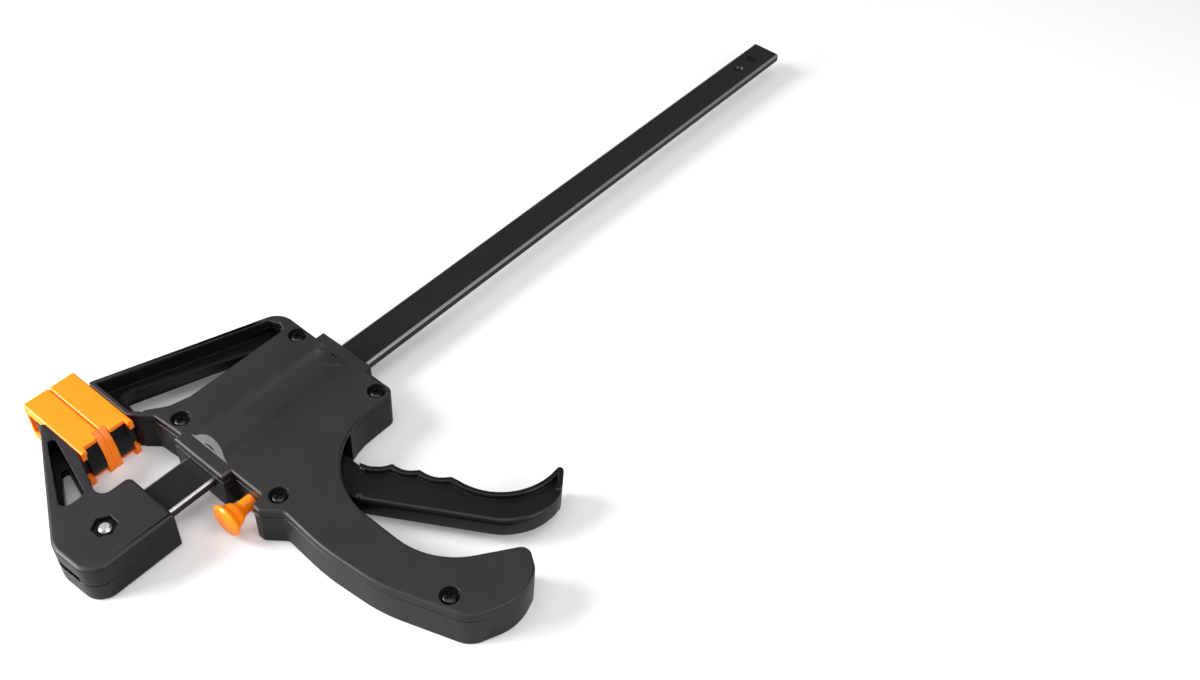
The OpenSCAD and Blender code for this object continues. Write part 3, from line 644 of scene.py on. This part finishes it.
points_mesh = bpy.data.meshes.new("screw_points")
points_mesh.from_pydata([(x * MM, y * MM, 0) for x, y in screw_places()], [], [])
points = put("screw_points", points_mesh)
setter = points.modifiers.new("set_screws", "NODES")
setter.node_group = screw_tree
inputs = {item.name: item.identifier
          for item in screw_tree.interface.items_tree if item.in_out == "INPUT"}
setter[inputs["Head"]] = head
setter[inputs["Seed"]] = SCREW_SEED
setter[inputs["Finish"]] = black_oxide
bpy.context.view_layer.update()
set_points = points.evaluated_get(bpy.context.evaluated_depsgraph_get())
screws_mesh = bpy.data.meshes.new_from_object(set_points)
screws_mesh.name = "cover_screw_heads"
for thing in (points, head):
    bpy.data.objects.remove(thing)
screws = put("cover_screw_heads", screws_mesh)
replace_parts(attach(screws, "body"), "cover_screws")


# ---- Trigger ----
# One moulding of the same nylon, polished by the mould: a core with a raised rim
# that follows the four finger hollows and the hook. It turns on a steel pin.

TRIGGER_RIM = span("trigger", "Z")  # the raised rim's lower and upper face
TRIGGER_CORE = (5, 15)  # the core's two faces
FINGER_R = 0.6         # on the raised rim's edges
PALM_R = 2.2           # on the core's palm side, which has no raised rim
PALM_Y = -56           # it is rounded from here down, below the body
TIP_X = 41             # the radius has fallen to 0 here
TIP_TAPER = 17         # over this length
NO_GRAIN = 30          # a height above the whole trigger


def finger_rim(x, y, size):
    """Radius on the raised rim's edges."""
    return FINGER_R if size > 0 else 0


def core_rim(x, y, size):
    """Radius on the core's palm side, less towards the tip. The core's other side is the
    foot of the raised rim and stays sharp."""
    if size < 0 or y >= PALM_Y:
        return 0
    return PALM_R * min(1, max(0, (TIP_X - x) / TIP_TAPER))


# The whole trigger takes the smooth zone's darker colour, which is partly painted shade.
trigger_nylon = black_nylon("polished_black_nylon", NO_GRAIN)
rounded_copy("trigger", [
    (TRIGGER_CORE[1], 1, core_rim), (TRIGGER_CORE[0], -1, core_rim),
    (TRIGGER_RIM[1], 1, finger_rim), (TRIGGER_RIM[0], -1, finger_rim),
], trigger_nylon, "trigger")


# ---- Pads ----
# Soft orange thermoplastic, moulded satin smooth with rounded edges. Each pad is a
# channel shut at its far end, pushed over the jaw's head plate up to its lips.

CLAMP_X = round((span("bar_jaw_pad", "X")[1] + span("body_jaw_pad", "X")[0]) / 2, 2)
PAD_NEAR, PAD_TOP = span("body_jaw_pad", "Y")
PAD_DEPTH = round(span("body_jaw_pad", "X")[1] - span("body_jaw_pad", "X")[0], 2)
PAD_GAP = 0.08         # each pad's face stands back this far, which leaves a fine dark line
PAD_FACE = 2.9
PAD_WALL = 2
PAD_LIP = 2.5          # the lips' depth, and their height in from each wall
PAD_EDGE_R = 0.9       # on all edges but those of the near end
PAD_SMALL_R = 0.3      # on the edges that are left
SMALL_EDGE = 50        # degrees; only edges sharper than this get the small round
CUT_PAST = 1           # how far cutters reach past the pad
CUT_NEAR = 9           # and past the face's near end
OVERLAP = 0.01         # lets two cuts run into each other
SKIN = 0.7             # the mould's satin texture
SKIN_DEPTH = 0.03
SKIN_EDGE = 0.3        # the radius at which edges catch light
ORANGE_FLOW = 12       # the melt's cloudy patches
ORANGE_SHINE = 0.05    # what they add to the roughness or take from it
GLOW_DEPTH = 4         # how far light goes into the plastic
PAINTED_GLOW = 0.15       # a painted glow: emission that stands in for light let through thin walls and bounced off the white sheet
# The face's near end, as Y from FACE_NEAR and Z. It reaches furthest near the sheet and
# curves back towards the top.
FACE_NEAR = 36
FACE_END = [(-2.2, -CUT_PAST), (-2.2, 3), (-1.9, 7), (-1.2, 11),
            (-0.1, 14.5), (1.6, 17.6), (3.6, 20), (3.6, BODY_T + CUT_PAST)]


def orange_plastic(name, dark, light, rough, glow):
    """Orange plastic with a soft skin. Some light goes in and comes out redder, and a painted red-orange
    glow, which shows in the dark too, brightens its shaded sides.
    """
    material, tree, bsdf, where = surface(name)
    grain = add(tree, "ShaderNodeTexNoise",
                {"Vector": where, "Scale": 1 / (SKIN * MM), "Detail": 3.0, "Roughness": 0.6})
    cloud = add(tree, "ShaderNodeTexNoise",
                {"Vector": where, "Scale": 1 / (ORANGE_FLOW * MM), "Detail": 4.0, "Roughness": 0.55})
    tint = add(tree, "ShaderNodeMix",
               {"Factor": cloud.outputs[0], "A": linear(dark), "B": linear(light)}, data_type="RGBA")
    shine = add(tree, "ShaderNodeMapRange",
                {"Value": cloud.outputs[0], **NOISE, "To Min": rough - ORANGE_SHINE,
                 "To Max": rough + ORANGE_SHINE})
    rounded = add(tree, "ShaderNodeBevel", {"Radius": SKIN_EDGE * MM}, samples=4)
    bump = add(tree, "ShaderNodeBump",
               {"Height": grain.outputs[0], "Strength": 0.3, "Distance": SKIN_DEPTH * MM,
                "Normal": rounded.outputs[0]})
    tree.links.new(tint.outputs["Result"], bsdf.inputs["Base Color"])
    tree.links.new(shine.outputs[0], bsdf.inputs["Roughness"])
    tree.links.new(bump.outputs[0], bsdf.inputs["Normal"])
    bsdf.inputs["IOR"].default_value = 1.5
    bsdf.inputs["Subsurface Weight"].default_value = glow
    bsdf.inputs["Subsurface Radius"].default_value = (1.0, 0.25, 0.05)
    bsdf.inputs["Subsurface Scale"].default_value = GLOW_DEPTH * MM
    # painted glow: a weak red-orange emission in place of light through thin walls and from the sheet
    bsdf.inputs["Emission Color"].default_value = linear("#ff2804")
    bsdf.inputs["Emission Strength"].default_value = PAINTED_GLOW
    return material


def pad(node, side, body):
    """One pad behind the clamping plane, towards +X for side 1 and -X for side -1."""
    block = brick(0, PAD_DEPTH, PAD_NEAR, PAD_TOP, 0, BODY_T)
    far_edges = [e for e in block.edges if any(v.co.y > (PAD_NEAR + SAME_PLANE) * MM for v in e.verts)]
    bmesh.ops.bevel(block, geom=far_edges, offset=PAD_EDGE_R * MM, offset_type="OFFSET", segments=4,
                    profile=0.5, affect="EDGES", clamp_overlap=True)
    out = FACE_NEAR - CUT_NEAR
    inner_top = PAD_TOP - PAD_WALL
    inner_z = BODY_T - PAD_WALL
    face_end = [(out, -2 * CUT_PAST)] + [(FACE_NEAR + y, z) for y, z in FACE_END]
    face_end.append((out, BODY_T + CUT_PAST))
    work = carved(block, [
        prism(face_end, "X", -2 * CUT_PAST, PAD_FACE + OVERLAP),
        brick(PAD_FACE, PAD_DEPTH - PAD_LIP, out, FACE_NEAR, -CUT_PAST, BODY_T + CUT_PAST),
        brick(PAD_FACE, PAD_DEPTH - PAD_WALL, out, inner_top, PAD_WALL, inner_z),
        brick(PAD_FACE, PAD_DEPTH + CUT_PAST, out, inner_top, PAD_WALL + PAD_LIP, inner_z - PAD_LIP),
    ])
    for v in work.verts:
        v.co.x = CLAMP_X * MM + side * (v.co.x + PAD_GAP * MM)
    bmesh.ops.recalc_face_normals(work, faces=work.faces)
    piece = finish_piece(work, node + "_soft", soft_orange, body)
    small = piece.modifiers.new("small_rounds", "BEVEL")
    small.width = PAD_SMALL_R * MM
    small.segments = 2
    small.limit_method = "ANGLE"
    small.angle_limit = math.radians(SMALL_EDGE)
    piece.modifiers.move(1, 0)
    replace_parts(piece, node)


soft_orange = orange_plastic("moulded_orange_tpe", "#ff8a06", "#ff920c", rough=0.42, glow=0.35)
pad("body_jaw_pad", 1, "body")
pad("bar_jaw_pad", -1, "slide")


# ---- Release button ----
# Harder, glossier orange plastic, moulded in the shape of a trumpet's bell. It slides
# in the housing's front wall and pushes the brake plate upright.


def dress(obj, material):
    """Gives one material to every slot of an object."""
    obj.data.materials.clear()
    obj.data.materials.append(material)


hard_orange = orange_plastic("moulded_orange_abs", "#ff8c0c", "#ff9614", rough=0.3, glow=0.3)
dress(nodes["release_button"], hard_orange)


# ---- Pins, plates and springs ----
# Zinc-plated steel: two drive plates that grip the bar and a brake plate, stamped;
# their pins, cut from rod; and two springs of drawn wire.

zinc = plated("zinc_plated_steel", "#c4c5ca", "#dcdde0", rough=0.3)
for name in ("trigger_pin", "trigger_push_pin", "drive_plate_front", "drive_plate_rear",
             "spring_seat", "brake_pin", "brake_plate"):
    dress(nodes[name], zinc)


def spring(node):
    """A smooth-shaded copy of a spring, put in place of the CAD node."""
    work = merged(node)
    for face in work.faces:
        face.smooth = True
    piece = thing_from(work, node + "_coil", zinc)
    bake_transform(piece)
    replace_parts(piece, node)


spring("drive_spring")
spring("brake_spring")


# ---- Bar ----
# Flat carbon steel, cold drawn with rounded edges and black phosphated. Drawing
# leaves faint lengthwise lines, and the coating is dark, dull and a little patchy.

BAR_Z = 11             # the bar's axis
DRAW_LINES = 0.7       # between the lines; drawn coarser than real ones so that they show
DRAW_RUN = 12          # bright and dark stretches along them, to the metre
# The bar's edges are painted pale: a painted highlight along the rounded edges.
HIGHLIGHT_FROM = 9.55        # a place's distances from the axis across and up add up to this where the painted highlight on the edges starts, and to this where it is full
HIGHLIGHT_FULL = 9.8         # the rubbed edge starts, and to this where it is full
HIGHLIGHT_SHARE = 0.8
PATCH = 9              # the coating's patches
LINE_DEPTH = 0.01


def drawn_steel():
    """Dark phosphated steel with lines along X, and a painted highlight along its rounded edges."""
    material, tree, bsdf, where = surface("phosphated_steel")
    close = 1 / (DRAW_LINES * MM)
    stretch = add(tree, "ShaderNodeMapping", {"Vector": where, "Scale": (DRAW_RUN, close, close)})
    lines = add(tree, "ShaderNodeTexNoise", {"Vector": stretch.outputs[0], "Scale": 1.0, "Detail": 4.0})
    patches = add(tree, "ShaderNodeTexNoise", {"Vector": where, "Scale": 1 / (PATCH * MM), "Detail": 7.0})
    tint = add(tree, "ShaderNodeMix",
               {"Factor": patches.outputs[0], "A": linear("#232123"), "B": linear("#2e2c2e")},
               data_type="RGBA")
    shine = add(tree, "ShaderNodeMapRange",
                {"Value": lines.outputs[0], **NOISE, "To Min": 0.3, "To Max": 0.4})
    bump = add(tree, "ShaderNodeBump",
               {"Height": lines.outputs[0], "Strength": 0.2, "Distance": LINE_DEPTH * MM})
    # the four rounded edges are painted pale and more metallic: a painted highlight that stands for the
    # lamps' reflection along them
    place = add(tree, "ShaderNodeSeparateXYZ", {0: where})
    across = add(tree, "ShaderNodeMath", {0: place.outputs["Y"]}, operation="ABSOLUTE")
    height = add(tree, "ShaderNodeMath", {0: place.outputs["Z"], 1: -BAR_Z * MM}, operation="ADD")
    rise = add(tree, "ShaderNodeMath", {0: height.outputs[0]}, operation="ABSOLUTE")
    corner = add(tree, "ShaderNodeMath", {0: across.outputs[0], 1: rise.outputs[0]}, operation="ADD")
    edge_mark = add(tree, "ShaderNodeMapRange",
               {"Value": corner.outputs[0], "From Min": HIGHLIGHT_FROM * MM, "From Max": HIGHLIGHT_FULL * MM,
                "To Min": 0.0, "To Max": HIGHLIGHT_SHARE})
    painted_highlight = add(tree, "ShaderNodeMix",
                 {"Factor": edge_mark.outputs[0], "A": tint.outputs["Result"], "B": linear("#c9c9cc")},
                 data_type="RGBA")
    metal = add(tree, "ShaderNodeMapRange", {"Value": edge_mark.outputs[0], "To Min": 0.5, "To Max": 1.0})
    tree.links.new(painted_highlight.outputs["Result"], bsdf.inputs["Base Color"])
    tree.links.new(metal.outputs[0], bsdf.inputs["Metallic"])
    tree.links.new(shine.outputs[0], bsdf.inputs["Roughness"])
    tree.links.new(bump.outputs[0], bsdf.inputs["Normal"])
    return material


dress(nodes["bar"], drawn_steel())


# ---- Fixed jaw, its bolt and its nut ----
# The same nylon, moulded round a socket for the bar. A bright zinc-plated bolt goes
# through jaw and bar and ends in a black nut, which sits deep in a six-sided pocket.

LEG_R = 0.5            # on the legs' thin rims
BLOCK_MORE_R = 1.1     # what the block's rims have on top of that
LEG_Y = 16             # the legs' rims start here
LEG_BLEND = 8          # and the radius has grown to the block's this far below


def jaw_rim(x, y, size):
    """Radius on the jaw: broad round the block, thin up the legs, none round holes."""
    if size < 0:
        return 0
    return LEG_R + BLOCK_MORE_R * min(1, max(0, (LEG_Y - y) / LEG_BLEND))


rounded_copy("bar_jaw", [(BODY_T, 1, jaw_rim), (0, -1, jaw_rim)], nylon, "slide")
dress(nodes["jaw_washer"], zinc)
dress(nodes["jaw_bolt"], plated("bright_zinc_bolt", "#dedee2", "#f6f6f8", rough=0.42))
dress(nodes["jaw_nut"], black_oxide)
